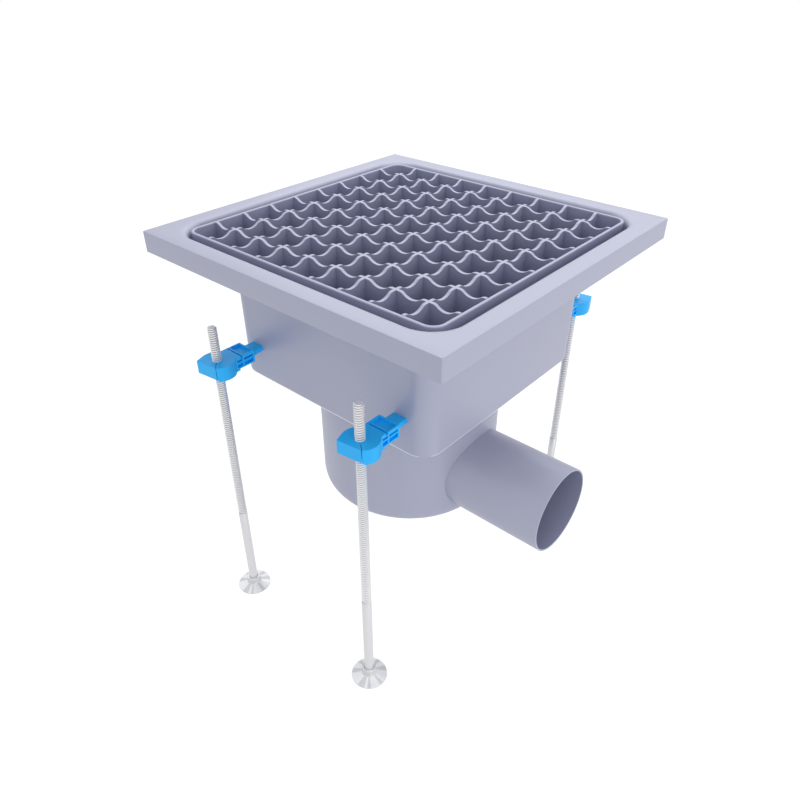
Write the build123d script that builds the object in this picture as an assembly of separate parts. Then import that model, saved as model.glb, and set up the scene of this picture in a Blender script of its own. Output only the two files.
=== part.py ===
from build123d import *
import math
import os

# Floor drain of welded sheet steel for a tiled or cast floor.
# The origin is the middle of the top plane, which is the level of the finished floor.
# +Z is up and +X is the way out through the outlet tube. All sizes are in millimetres.

# Top frame, one folded sheet
SHEET = 1.5
FRAME_HALF = 150.0
SKIRT_HEIGHT = 17.1
BORDER_WIDTH = 16.0
OPENING_RADIUS = 20.0
OPENING_ROUNDING = 1.0
LEDGE_BEND = 1.5

# Grating, half-lapped flat bars with a wave-shaped top edge inside a band on edge
BAR_THICK = 2.5
BAR_HEIGHT = 25.0
BARS_EACH_WAY = 8
OUTER_CELL = 26.5
GRATE_GAP = 7.55
BAND_CORNER = 11.0
BAND_EDGE_ROUNDING = 0.9
GRATE_SINK = 0.3
WAVE_DEPTH = 3.8
WAVE_SLOPE = 36.0
CREST_RADIUS = 6.0
CREST_FLAT = 3.5
BAND_FLAT = 2.5

# Drawn box under the frame
LEDGE_WIDTH = 27.8
BOX_DRAFT = 0.8
BOX_CORNER = 17.0
BOX_HEIGHT = 99.7
BOX_BOTTOM_RADIUS = 3.0

# Round sump cup and its outlet tube
CUP_SHOULDER = 22.4
CUP_HEIGHT = 124.5
CUP_BOTTOM_RADIUS = 13.0
TUBE_RADIUS = 38.05
TUBE_WALL = 1.6
TUBE_RISE = 42.35
TUBE_REACH = 166.85

# Levelling legs
LEG_INSET = 26.2
LEG_STANDOFF = 40.8
CLIP_DROP = 65.2
CLIP_HEAD_HEIGHT = 12.7
CLIP_ROUND = 14.5
CLIP_CORNER_X = 11.2
CLIP_CORNER_Y = 11.8
CLIP_NOSE_X = 10.0
CLIP_NOSE_Y = 9.0
CLIP_CORNER_BEVEL = 1.5
CLIP_SLIT = 0.4
ARM_HALF = 9.6
ARM_HEIGHT = 9.0
ARM_REACH = 30.0
ARM_RIB_PLACE = 18.5
ARM_RIB = 1.6
ARM_PANEL_DEPTH = 1.5
ARM_EDGE_RIB = 1.4
TONGUE_HALF = 6.75
TONGUE_HEIGHT = 5.2
TONGUE_DROP = 2.3
TONGUE_ROUNDING = 1.8
LUG_HALF = 4.5
LUG_THICK = 2.0
LUG_REACH = 20.0
LUG_PLAY = 0.1
THREAD_RADIUS = 3.9
THREAD_PLAY = 0.05
THREAD_LENGTH = 197.0
ROD_ABOVE_CLIP = 30.0
ROD_CHAMFER = 0.8
SHANK_RADIUS = 4.0
SHANK_LENGTH = 94.5
SOCKET_PLAY = 0.05
FOOT_RADIUS = 15.8
FOOT_PLATE = 1.2
FOOT_RIM = 0.8
FOOT_CONE = 4.0
FOOT_HUB_RADIUS = 6.25
FOOT_HEIGHT = 10.5
FOOT_HUB_CHAMFER = 0.5
FOOT_SOLE = 1.5

# Water trap hanging in the sump cup
TRAP_SHEET = 1.2
SEAL_THICK = 2.5
FLANGE_LAP = 10.5
POT_GAP = 15.5
POT_DEPTH = 68.0
POT_BOTTOM_RADIUS = 6.0
PIPE_RADIUS = 22.0
WATER_SEAL = 50.0
BELL_RADIUS = 38.0
BELL_NOTCH = 9.0
BELL_LEG = 10.0
BELL_HEADROOM = 18.0
BELL_TOP_RADIUS = 5.0
HANDLE_SPAN = 40.0
HANDLE_RISE = 12.0
HANDLE_WIDTH = 12.0
HANDLE_THICK = 2.0
HANDLE_BEND = 5.0

# Sediment basket standing on the trap
BASKET_SHEET = 1.0
BASKET_INSET = 4.0
BASKET_FOOT_HEIGHT = 25.0
BASKET_DEPTH = 50.0
BASKET_LIP = 4.0
WINDOW_COUNT = 4
WINDOW_WIDTH = 60.0
WINDOW_MARGIN = 3.0
SLOT_COUNT = 24
SLOT_WIDTH = 5.0
SLOT_MARGIN = 9.0
HOLE_RADIUS = 4.0
HOLE_RING_STEP = 26.0
HOLE_RINGS = 2
HOLES_PER_RING = 6
EAR_WIDTH = 12.0
EAR_THICK = 2.0
EAR_RISE = 5.0
EAR_DROP = 8.0
BAIL_WIRE = 1.5
BAIL_PLAY = 0.3
BAIL_STUB = 3.0

# Heights that follow, from the top down
GRATE_TOP = -GRATE_SINK
LEDGE_TOP = GRATE_TOP - BAR_HEIGHT
LEDGE_BOTTOM = LEDGE_TOP - SHEET
BOX_BOTTOM = LEDGE_BOTTOM - BOX_HEIGHT
BOX_FLOOR = BOX_BOTTOM + SHEET
CUP_BOTTOM = BOX_BOTTOM - CUP_HEIGHT
TUBE_Z = CUP_BOTTOM + TUBE_RISE
CLIP_TOP = LEDGE_BOTTOM - CLIP_DROP
CLIP_BOTTOM = CLIP_TOP - CLIP_HEAD_HEIGHT
ROD_TOP = CLIP_TOP + ROD_ABOVE_CLIP
THREAD_END = ROD_TOP - THREAD_LENGTH
ROD_BOTTOM = THREAD_END - SHANK_LENGTH
FOOT_BOTTOM = ROD_BOTTOM - FOOT_SOLE
FLANGE_BOTTOM = BOX_FLOOR + SEAL_THICK
FLANGE_TOP = FLANGE_BOTTOM + TRAP_SHEET
POT_BOTTOM = FLANGE_BOTTOM - POT_DEPTH
POT_FLOOR = POT_BOTTOM + TRAP_SHEET
PIPE_TOP = POT_FLOOR + BELL_NOTCH + WATER_SEAL
BELL_TOP = PIPE_TOP + BELL_HEADROOM + TRAP_SHEET
BASKET_FLOOR = FLANGE_TOP + BASKET_FOOT_HEIGHT
BASKET_TOP = BASKET_FLOOR + BASKET_DEPTH

# Widths that follow
OPENING_HALF = FRAME_HALF - BORDER_WIDTH
BAND_OUTSIDE = OPENING_HALF - GRATE_GAP
BAND_HALF = BAND_OUTSIDE - BAR_THICK / 2
BAND_INSIDE = BAND_OUTSIDE - BAR_THICK
OUTER_BAR = BAND_HALF - OUTER_CELL
BAR_PITCH = 2 * OUTER_BAR / (BARS_EACH_WAY - 1)
BAR_PLACES = [BAR_PITCH * index - OUTER_BAR for index in range(BARS_EACH_WAY)]
BOX_TOP_HALF = OPENING_HALF - LEDGE_WIDTH
BOX_BOTTOM_HALF = BOX_TOP_HALF - BOX_DRAFT
LEG_X = BOX_TOP_HALF - LEG_INSET
LEG_Y = BOX_TOP_HALF + LEG_STANDOFF
CUP_RADIUS = BOX_BOTTOM_HALF - CUP_SHOULDER
CUP_INSIDE = CUP_RADIUS - SHEET
FLANGE_RADIUS = CUP_INSIDE + FLANGE_LAP
POT_RADIUS = CUP_INSIDE - POT_GAP
BASKET_RADIUS = FLANGE_RADIUS - BASKET_INSET

# A cutter reaches this far past the face it opens
PAST = 2.0

# Two heights closer than this are the same level
LEVEL_TOLERANCE = 0.01

# Each leg: the side of the middle it stands on, and the turn that brings it to its wall
LEGS = {
    "front_left": (-1, 0),
    "front_right": (1, 0),
    "back_left": (1, 180),
    "back_right": (-1, 180),
}


def slab(half, radius, low, high):
    """A square plate between two heights, with rounded corners if the radius isn't zero."""
    outline = RectangleRounded(2 * half, 2 * half, radius) if radius else Rectangle(2 * half, 2 * half)
    return Pos(0, 0, low) * extrude(outline, high - low)


def disc(radius, low, high):
    """A round plate on the Z axis between two heights."""
    return Pos(0, 0, low) * extrude(Circle(radius), high - low)


def block(x_low, x_high, y_low, y_high, z_low, z_high):
    """A box between three pairs of faces."""
    middle = Pos((x_low + x_high) / 2, (y_low + y_high) / 2, (z_low + z_high) / 2)
    return middle * Box(x_high - x_low, y_high - y_low, z_high - z_low)


def rim_edges(solid, height):
    """The edges of a solid that lie flat at one height."""
    return solid.edges().filter_by_position(Axis.Z, height - LEVEL_TOLERANCE, height + LEVEL_TOLERANCE)


def cup_shape(radius, low, high, bottom_radius):
    """A solid cup with a rounded bottom edge."""
    solid = disc(radius, low, high)
    return fillet(rim_edges(solid, low), bottom_radius)


def top_frame():
    """The folded sheet: skirt, flat border, recess wall and the ledge for the grating."""
    skirt = slab(FRAME_HALF, 0, -SKIRT_HEIGHT, 0)
    skirt -= slab(FRAME_HALF - SHEET, 0, -SKIRT_HEIGHT - PAST, -SHEET)
    tray = slab(OPENING_HALF + SHEET, OPENING_RADIUS + SHEET, LEDGE_BOTTOM, 0)
    tray = fillet(rim_edges(tray, LEDGE_BOTTOM), LEDGE_BEND + SHEET)
    recess = slab(OPENING_HALF, OPENING_RADIUS, LEDGE_TOP, PAST)
    recess = fillet(rim_edges(recess, LEDGE_TOP), LEDGE_BEND)
    throat = slab(BOX_TOP_HALF - SHEET, BOX_CORNER - SHEET, LEDGE_BOTTOM - PAST, LEDGE_TOP + PAST)
    frame = skirt + tray - recess - throat
    reach = OPENING_HALF + BORDER_WIDTH / 2
    opening = [edge for edge in rim_edges(frame, 0)
               if abs(edge.center().X) < reach and abs(edge.center().Y) < reach]
    return fillet(opening, OPENING_ROUNDING)


def box_shape(inset):
    """The drafted box as a solid, made smaller on every side by the inset."""
    low = BOX_BOTTOM + inset
    top_size = 2 * (BOX_TOP_HALF - inset)
    bottom_size = 2 * (BOX_BOTTOM_HALF - inset)
    corner = BOX_CORNER - inset
    top = Pos(0, 0, LEDGE_BOTTOM) * RectangleRounded(top_size, top_size, corner)
    bottom = Pos(0, 0, low) * RectangleRounded(bottom_size, bottom_size, corner)
    solid = loft([bottom, top], ruled=True)
    return fillet(rim_edges(solid, low), BOX_BOTTOM_RADIUS - inset)


def box_pan():
    """The drawn box: four drafted walls and a floor with the mouth of the sump."""
    mouth = disc(CUP_INSIDE, BOX_BOTTOM - PAST, BOX_FLOOR + PAST)
    return box_shape(0) - box_shape(SHEET) - mouth


def tube_bore(radius):
    """A cylinder on the outlet's axis, from the middle of the drain outwards."""
    length = TUBE_REACH + PAST
    return Pos(0, 0, TUBE_Z) * Rot(0, 90, 0) * extrude(Circle(radius), length)


def sump_cup():
    """The round cup under the box, open at the top and at the outlet."""
    inside = cup_shape(CUP_INSIDE, CUP_BOTTOM + SHEET, BOX_BOTTOM + PAST, CUP_BOTTOM_RADIUS - SHEET)
    cup = cup_shape(CUP_RADIUS, CUP_BOTTOM, BOX_BOTTOM, CUP_BOTTOM_RADIUS)
    return cup - inside - tube_bore(TUBE_RADIUS - TUBE_WALL)


def outlet_spigot():
    """The outlet tube, cut to the curve of the cup that it is welded to."""
    tube = Pos(0, 0, TUBE_Z) * Rot(0, 90, 0) * extrude(Circle(TUBE_RADIUS), TUBE_REACH)
    tube -= tube_bore(TUBE_RADIUS - TUBE_WALL)
    return tube - cup_shape(CUP_RADIUS, CUP_BOTTOM, BOX_BOTTOM, CUP_BOTTOM_RADIUS)


def clip_outline():
    """Plan of the clip: a square nose on the left, a round head and a straight arm."""
    arm_start = math.sqrt(CLIP_ROUND**2 - ARM_HALF**2)
    corner = (-CLIP_CORNER_X, -CLIP_CORNER_Y)
    nose = (CLIP_NOSE_X, -CLIP_NOSE_Y)
    cheek_y = -CLIP_CORNER_Y / 3
    cheek = (-math.sqrt(CLIP_ROUND**2 - cheek_y**2), cheek_y)
    side_middle = (-CLIP_ROUND, 0)
    edges = [
        Line(corner, nose),
        ThreePointArc(nose, (CLIP_ROUND, 0), (ARM_HALF, arm_start)),
        Line((ARM_HALF, arm_start), (ARM_HALF, ARM_REACH)),
        Line((ARM_HALF, ARM_REACH), (-ARM_HALF, ARM_REACH)),
        Line((-ARM_HALF, ARM_REACH), (-ARM_HALF, arm_start)),
        ThreePointArc((-ARM_HALF, arm_start), side_middle, cheek),
        Line(cheek, corner),
    ]
    return make_face(Wire(edges))


def arm_panels():
    """The shallow panels in the top and the sides of the clip's arm, as one cutter."""
    arm_start = math.sqrt(CLIP_ROUND**2 - ARM_HALF**2) + ARM_RIB
    far = ARM_REACH - ARM_RIB
    bays = [(arm_start, ARM_RIB_PLACE - ARM_RIB / 2), (ARM_RIB_PLACE + ARM_RIB / 2, far)]
    arm_bottom = CLIP_TOP - ARM_HEIGHT
    rib_middle = CLIP_TOP - ARM_HEIGHT / 2
    rows = [
        (arm_bottom + ARM_EDGE_RIB, rib_middle - ARM_EDGE_RIB / 2),
        (rib_middle + ARM_EDGE_RIB / 2, CLIP_TOP - ARM_PANEL_DEPTH - ARM_EDGE_RIB),
    ]
    top = block(ARM_EDGE_RIB - ARM_HALF, ARM_HALF - ARM_EDGE_RIB, *bays[1],
                CLIP_TOP - ARM_PANEL_DEPTH, CLIP_TOP + PAST)
    groove = block(ARM_EDGE_RIB - ARM_HALF, ARM_HALF + PAST, bays[0][1] - ARM_EDGE_RIB, bays[0][1],
                   CLIP_TOP - ARM_PANEL_DEPTH, CLIP_TOP + PAST)
    cutters = [top, groove]
    for bay in bays:
        for row in rows:
            cutters.append(block(ARM_HALF - ARM_PANEL_DEPTH, ARM_HALF + PAST, *bay, *row))
            cutters.append(block(-ARM_HALF - PAST, ARM_PANEL_DEPTH - ARM_HALF, *bay, *row))
    return cutters


def lug_block(play):
    """The lug's room in the clip, from inside the arm to past the wall of the box."""
    middle = CLIP_TOP - TONGUE_DROP - TONGUE_HEIGHT / 2
    wall = LEG_Y - BOX_BOTTOM_HALF
    return block(-LUG_HALF - play, LUG_HALF + play, wall - LUG_REACH - play, wall + PAST,
                 middle - LUG_THICK / 2 - play, middle + LUG_THICK / 2 + play)


def clip_shape():
    """The plastic clip at its rod: split round head, ribbed arm and tongue."""
    head = Pos(0, 0, CLIP_BOTTOM) * extrude(clip_outline(), CLIP_HEAD_HEIGHT)
    head -= block(-CLIP_ROUND, CLIP_ROUND, CLIP_ROUND, ARM_REACH + PAST,
                  CLIP_BOTTOM - PAST, CLIP_TOP - ARM_HEIGHT)
    sharp = [edge for edge in rim_edges(head, CLIP_BOTTOM) if edge.center().Y < -CLIP_NOSE_Y]
    head = chamfer(sharp, CLIP_CORNER_BEVEL)
    tongue_low = CLIP_TOP - TONGUE_DROP - TONGUE_HEIGHT
    tongue = block(-TONGUE_HALF, TONGUE_HALF, ARM_REACH, LEG_Y - BOX_BOTTOM_HALF + PAST,
                   tongue_low, tongue_low + TONGUE_HEIGHT)
    tongue = fillet(tongue.edges().filter_by(Axis.Y), TONGUE_ROUNDING)
    clip = head + tongue - arm_panels() - lug_block(LUG_PLAY)
    clip -= Pos(0, 0, CLIP_BOTTOM - PAST) * extrude(Circle(THREAD_RADIUS + THREAD_PLAY),
                                                     CLIP_HEAD_HEIGHT + 2 * PAST)
    slit_turn = math.degrees(math.atan2(-CLIP_NOSE_Y, CLIP_NOSE_X))
    slit = block(0, 2 * CLIP_ROUND, -CLIP_SLIT / 2, CLIP_SLIT / 2, CLIP_BOTTOM - PAST, CLIP_TOP + PAST)
    return clip - Rot(0, 0, slit_turn) * slit


def rod_shape():
    """The levelling rod: threaded above, with a plain shank that ends in the foot."""
    thread = disc(THREAD_RADIUS, THREAD_END, ROD_TOP)
    thread = chamfer(rim_edges(thread, ROD_TOP), ROD_CHAMFER)
    shank = disc(SHANK_RADIUS, ROD_BOTTOM, THREAD_END)
    return thread + shank


def foot_shape():
    """The pressed foot: a thin cone plate with a round hub and a blind socket for the rod."""
    socket = SHANK_RADIUS + SOCKET_PLAY
    outline = Polyline(
        (0, 0),
        (FOOT_HUB_RADIUS, 0),
        (FOOT_HUB_RADIUS, FOOT_CONE - FOOT_PLATE),
        (FOOT_RADIUS - FOOT_PLATE, 0),
        (FOOT_RADIUS, 0),
        (FOOT_RADIUS, FOOT_RIM),
        (FOOT_HUB_RADIUS, FOOT_CONE),
        (FOOT_HUB_RADIUS, FOOT_HEIGHT - FOOT_HUB_CHAMFER),
        (FOOT_HUB_RADIUS - FOOT_HUB_CHAMFER, FOOT_HEIGHT),
        (socket, FOOT_HEIGHT),
        (socket, FOOT_SOLE),
        (0, FOOT_SOLE),
        close=True,
    )
    section = Plane.XZ * make_face(outline)
    return Pos(0, 0, FOOT_BOTTOM) * revolve(section, Axis.Z)


def wave_cut(run):
    """The dip between two crests of a bar, as a cutter round its own lowest point."""
    slope = math.radians(WAVE_SLOPE)
    crest_run = CREST_RADIUS * math.sin(slope)
    crest_drop = CREST_RADIUS * (1 - math.cos(slope))
    left = run - crest_run - (WAVE_DEPTH - crest_drop) / math.tan(slope)
    trough = left / math.tan(slope / 2)
    trough_run = trough * math.sin(slope)
    trough_rise = trough * (1 - math.cos(slope))
    half = slope / 2
    top = WAVE_DEPTH
    crest_middle = (run - CREST_RADIUS * math.sin(half), top - CREST_RADIUS * (1 - math.cos(half)))
    crest_foot = (run - crest_run, top - crest_drop)
    edges = [
        ThreePointArc((-trough_run, trough_rise), (0, 0), (trough_run, trough_rise)),
        Line((trough_run, trough_rise), crest_foot),
        ThreePointArc(crest_foot, crest_middle, (run, top)),
        Line((run, top), (run, top + PAST)),
        Line((run, top + PAST), (-run, top + PAST)),
        Line((-run, top + PAST), (-run, top)),
        ThreePointArc((-run, top), (-crest_middle[0], crest_middle[1]), (-crest_foot[0], crest_foot[1])),
        Line((-crest_foot[0], crest_foot[1]), (-trough_run, trough_rise)),
    ]
    section = Plane.XZ * make_face(Wire(edges))
    return Pos(0, 0, GRATE_TOP - WAVE_DEPTH) * extrude(section, BAR_THICK, both=True)


def wave_bar(slot_low, slot_high):
    """A flat bar along X with its wavy top edge and a half-lap slot at each crossing."""
    bar = block(-BAND_INSIDE, BAND_INSIDE, -BAR_THICK / 2, BAR_THICK / 2, LEDGE_TOP, GRATE_TOP)
    inner_cut = wave_cut(BAR_PITCH / 2 - CREST_FLAT)
    outer_run = (BAND_HALF - OUTER_BAR - CREST_FLAT - BAND_FLAT) / 2
    outer_place = OUTER_BAR + CREST_FLAT + outer_run
    outer_cut = wave_cut(outer_run)
    cutters = [Pos(place + BAR_PITCH / 2, 0, 0) * inner_cut for place in BAR_PLACES[:-1]]
    cutters += [Pos(side * outer_place, 0, 0) * outer_cut for side in (-1, 1)]
    for place in BAR_PLACES:
        cutters.append(block(place - BAR_THICK / 2, place + BAR_THICK / 2, -BAR_THICK, BAR_THICK,
                             slot_low, slot_high))
    return bar - cutters


def grate_band():
    """The band on edge that closes the grating, with a rounded top edge."""
    band = slab(BAND_OUTSIDE, BAND_CORNER, LEDGE_TOP, GRATE_TOP)
    band -= slab(BAND_INSIDE, BAND_CORNER - BAR_THICK, LEDGE_TOP - PAST, GRATE_TOP + PAST)
    return fillet(rim_edges(band, GRATE_TOP), BAND_EDGE_ROUNDING)


def rim_seal():
    """The flat rubber ring between the box floor and the flange of the trap."""
    return disc(FLANGE_RADIUS, BOX_FLOOR, FLANGE_BOTTOM) - disc(CUP_INSIDE, BOX_FLOOR, FLANGE_BOTTOM)


def trap_pot():
    """The trap's pot: flange, wall, floor and the standpipe that the water runs over."""
    pot = cup_shape(POT_RADIUS, POT_BOTTOM, FLANGE_TOP, POT_BOTTOM_RADIUS)
    pot += disc(FLANGE_RADIUS, FLANGE_BOTTOM, FLANGE_TOP)
    pot -= cup_shape(POT_RADIUS - TRAP_SHEET, POT_FLOOR, FLANGE_TOP + PAST, POT_BOTTOM_RADIUS - TRAP_SHEET)
    pot += disc(PIPE_RADIUS, POT_BOTTOM, PIPE_TOP)
    return pot - disc(PIPE_RADIUS - TRAP_SHEET, POT_BOTTOM - PAST, PIPE_TOP + PAST)


def trap_bell():
    """The bell over the standpipe: closed above, standing on three legs left by its notches."""
    bell = disc(BELL_RADIUS, POT_FLOOR, BELL_TOP)
    bell = fillet(rim_edges(bell, BELL_TOP), BELL_TOP_RADIUS)
    inside = disc(BELL_RADIUS - TRAP_SHEET, POT_FLOOR - PAST, BELL_TOP - TRAP_SHEET)
    bell -= fillet(rim_edges(inside, BELL_TOP - TRAP_SHEET), BELL_TOP_RADIUS - TRAP_SHEET)
    legs = Sketch() + [Rot(0, 0, turn) * Pos(BELL_RADIUS, 0) * Rectangle(BELL_RADIUS, BELL_LEG)
                       for turn in (0, 120, 240)]
    notches = extrude(Circle(BELL_RADIUS + PAST) - legs, BELL_NOTCH + PAST)
    return bell - Pos(0, 0, POT_FLOOR - PAST) * notches


def bell_handle():
    """The bent strap on top of the bell."""
    outside = block(-HANDLE_SPAN / 2, HANDLE_SPAN / 2, -HANDLE_WIDTH / 2, HANDLE_WIDTH / 2,
                    BELL_TOP, BELL_TOP + HANDLE_RISE)
    inside = block(HANDLE_THICK - HANDLE_SPAN / 2, HANDLE_SPAN / 2 - HANDLE_THICK, -HANDLE_WIDTH,
                   HANDLE_WIDTH, BELL_TOP - PAST, BELL_TOP + HANDLE_RISE - HANDLE_THICK)
    outer_edges = outside.edges().filter_by(Axis.Y).group_by(Axis.Z)[-1]
    inner_edges = inside.edges().filter_by(Axis.Y).group_by(Axis.Z)[-1]
    return fillet(outer_edges, HANDLE_BEND) - fillet(inner_edges, HANDLE_BEND - HANDLE_THICK)


def basket_holes():
    """Every opening of the basket: floor holes, wall slots and the windows of its foot."""
    drill = disc(HOLE_RADIUS, BASKET_FLOOR - PAST, BASKET_FLOOR + PAST)
    holes = [drill]
    for ring in range(1, HOLE_RINGS + 1):
        count = HOLES_PER_RING * ring
        holes += [Rot(0, 0, 360 * index / count) * Pos(HOLE_RING_STEP * ring, 0, 0) * drill
                  for index in range(count)]
    slot = block(0, BASKET_RADIUS + PAST, -SLOT_WIDTH / 2, SLOT_WIDTH / 2,
                 BASKET_FLOOR + SLOT_MARGIN, BASKET_TOP - EAR_DROP - SLOT_MARGIN)
    slot -= disc(BASKET_RADIUS - SLOT_MARGIN, BASKET_FLOOR, BASKET_TOP)
    holes += [Rot(0, 0, 360 * index / SLOT_COUNT) * slot for index in range(SLOT_COUNT)]
    window = block(0, BASKET_RADIUS + PAST, -WINDOW_WIDTH / 2, WINDOW_WIDTH / 2,
                   FLANGE_TOP + WINDOW_MARGIN, BASKET_FLOOR - BASKET_SHEET - WINDOW_MARGIN)
    holes += [Rot(0, 0, 360 * index / WINDOW_COUNT) * window for index in range(WINDOW_COUNT)]
    return holes


def sediment_basket():
    """The basket: perforated wall and floor, rim lip, two ears and a foot ring with windows."""
    basket = disc(BASKET_RADIUS, FLANGE_TOP, BASKET_TOP)
    basket += disc(BASKET_RADIUS + BASKET_LIP, BASKET_TOP - BASKET_SHEET, BASKET_TOP)
    inside = BASKET_RADIUS - BASKET_SHEET
    basket -= disc(inside, BASKET_FLOOR, BASKET_TOP + PAST)
    basket -= disc(inside, FLANGE_TOP - PAST, BASKET_FLOOR - BASKET_SHEET)
    for side in (-1, 1):
        face = side * inside
        back = side * (inside - EAR_THICK)
        ear = block(min(face, back), max(face, back), -EAR_WIDTH / 2, EAR_WIDTH / 2,
                    BASKET_TOP - EAR_DROP, BASKET_TOP + EAR_RISE)
        ear -= disc(inside - EAR_THICK, BASKET_TOP - EAR_DROP, BASKET_TOP + EAR_RISE)
        basket += ear & disc(inside, BASKET_TOP - EAR_DROP, BASKET_TOP + EAR_RISE)
    pivot = Pos(-BASKET_RADIUS, 0, BASKET_TOP + BAIL_WIRE) * Rot(0, 90, 0)
    basket -= pivot * extrude(Circle(BAIL_WIRE + BAIL_PLAY), 2 * BASKET_RADIUS)
    return basket - basket_holes()


def basket_bail():
    """The wire handle, folded down on the rim, with its ends turned into the ears."""
    hoop = BASKET_RADIUS + BAIL_WIRE + BAIL_PLAY
    path = CenterArc((0, 0), hoop, 180, 180)
    section = Plane(origin=(-hoop, 0, 0), z_dir=(0, -1, 0)) * Circle(BAIL_WIRE)
    bail = sweep(section, path)
    stub_end = BASKET_RADIUS - BASKET_SHEET - EAR_THICK - BAIL_STUB
    for side in (-1, 1):
        stub = Rot(0, 90 * side, 0) * extrude(Circle(BAIL_WIRE), hoop - stub_end)
        bail += Pos(side * stub_end, 0, 0) * stub + Pos(side * hoop, 0, 0) * Sphere(BAIL_WIRE)
    return Pos(0, 0, BASKET_TOP + BAIL_WIRE) * bail


def write(name, solid):
    """Write one piece to its own file."""
    export_step(solid, f"parts/{name}.step")


def write_legs():
    """Write the lug, clip, rod and foot of each of the four legs."""
    box = box_shape(0)
    clip = clip_shape()
    lug = lug_block(0)
    rod = rod_shape()
    foot = foot_shape()
    for leg, (side, turn) in LEGS.items():
        place = Rot(0, 0, turn) * Pos(side * LEG_X, -LEG_Y, 0)
        write(f"wall_lug_{leg}", place * lug - box)
        write(f"leg_clip_{leg}", place * clip - box)
        write(f"leg_rod_{leg}", place * rod)
        write(f"leg_foot_{leg}", place * foot)


def write_grating():
    """Write the band and the bars of the grating."""
    lap = (GRATE_TOP + LEDGE_TOP) / 2
    under = wave_bar(LEDGE_TOP - PAST, lap)
    over = wave_bar(lap, GRATE_TOP + PAST)
    write("grate_band", grate_band())
    for index, place in enumerate(BAR_PLACES, start=1):
        write(f"grate_bar_x{index}", Pos(0, place, 0) * under)
        write(f"grate_bar_y{index}", Pos(place, 0, 0) * Rot(0, 0, 90) * over)


def main():
    """Build every piece of the drain."""
    os.makedirs("parts", exist_ok=True)
    write("top_frame", top_frame())
    write("box_pan", box_pan())
    write("sump_cup", sump_cup())
    write("outlet_spigot", outlet_spigot())
    write_legs()
    write_grating()
    write("rim_seal", rim_seal())
    write("trap_pot", trap_pot())
    write("trap_bell", trap_bell())
    write("bell_handle", bell_handle())
    write("sediment_basket", sediment_basket())
    write("basket_bail", basket_bail())


main()
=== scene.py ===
"""Floor drain: the fine form and the finish of every visible piece, the studio and the camera."""

from __future__ import annotations

import logging
import math
from dataclasses import dataclass
from enum import Enum
from typing import Callable, Sequence

import bmesh
import bpy
from mathutils import Matrix, Vector


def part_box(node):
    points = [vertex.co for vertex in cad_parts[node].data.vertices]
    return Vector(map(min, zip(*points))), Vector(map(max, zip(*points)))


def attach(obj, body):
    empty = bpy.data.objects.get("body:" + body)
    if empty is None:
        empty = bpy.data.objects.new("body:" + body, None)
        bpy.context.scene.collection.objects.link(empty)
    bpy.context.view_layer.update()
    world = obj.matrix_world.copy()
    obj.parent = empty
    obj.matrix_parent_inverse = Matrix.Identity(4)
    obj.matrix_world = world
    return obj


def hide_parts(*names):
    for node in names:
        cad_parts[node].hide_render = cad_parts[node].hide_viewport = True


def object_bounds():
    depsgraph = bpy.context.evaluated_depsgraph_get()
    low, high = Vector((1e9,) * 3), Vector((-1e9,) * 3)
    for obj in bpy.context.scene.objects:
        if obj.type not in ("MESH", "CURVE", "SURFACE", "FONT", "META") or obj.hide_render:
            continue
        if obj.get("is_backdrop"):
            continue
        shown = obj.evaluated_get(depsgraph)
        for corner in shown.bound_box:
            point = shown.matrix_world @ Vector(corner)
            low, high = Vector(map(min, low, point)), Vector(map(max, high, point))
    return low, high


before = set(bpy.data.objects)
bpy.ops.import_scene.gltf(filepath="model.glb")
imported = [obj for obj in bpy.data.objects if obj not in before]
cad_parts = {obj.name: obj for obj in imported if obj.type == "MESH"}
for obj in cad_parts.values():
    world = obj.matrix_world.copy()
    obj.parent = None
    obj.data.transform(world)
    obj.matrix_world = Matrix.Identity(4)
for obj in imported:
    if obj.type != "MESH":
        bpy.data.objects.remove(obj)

LOG = logging.getLogger("floor_drain")
MM = 0.001
# Angles in degrees: above the first an edge stays sharp, above the second it can be broken.
SHARP_ANGLE = 32.0
BEVEL_ANGLE = 38.0
# A rounding takes at most this share of the sides that meet at its corner.
NEARLY_HALF = 0.49
# A square ring with this share of its half width as corner radius looks round.
NEARLY_ROUND = 0.9999
# The radius that a ring on the axis gets, so that its points stay apart.
ON_AXIS = 0.01 * MM
Number = int | float
Colour = tuple[float, float, float]
Place = tuple[float, float, float]
SectionPoint = tuple[float, float, float, float]
Outline = Sequence[tuple[float, float]]


class Body(Enum):
    """The moving bodies of the drain, by the start of their names."""

    DRAIN = "drain"
    FOOT = "foot"
    ROD = "rod"


class Slot(Enum):
    """The material slots of the drain."""

    BODY = "body_steel"
    GRATE = "grate_steel"
    CLIP = "clip_plastic"
    LEG = "leg_zinc"
    TRAP = "trap_steel"
    SEAL = "seal_rubber"


class Leg(Enum):
    """The four levelling legs."""

    FRONT_LEFT = "front_left"
    FRONT_RIGHT = "front_right"
    BACK_LEFT = "back_left"
    BACK_RIGHT = "back_right"


class Shade(Enum):
    """Where a finish turns into its second colour, which paints light or shade onto the surface.
    """

    NONE = "nowhere"
    # Painted shade on faces that stand upright, such as the sides of the grating's bars.
    SIDES = "on faces that stand upright"
    # Painted shade in the roots of a thread.
    GROOVES = "in the roots of a thread"
    # Painted reflection streaks round an upright axis, with painted shade on steep faces.
    STREAKS = "in soft streaks round an upright axis"


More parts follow.
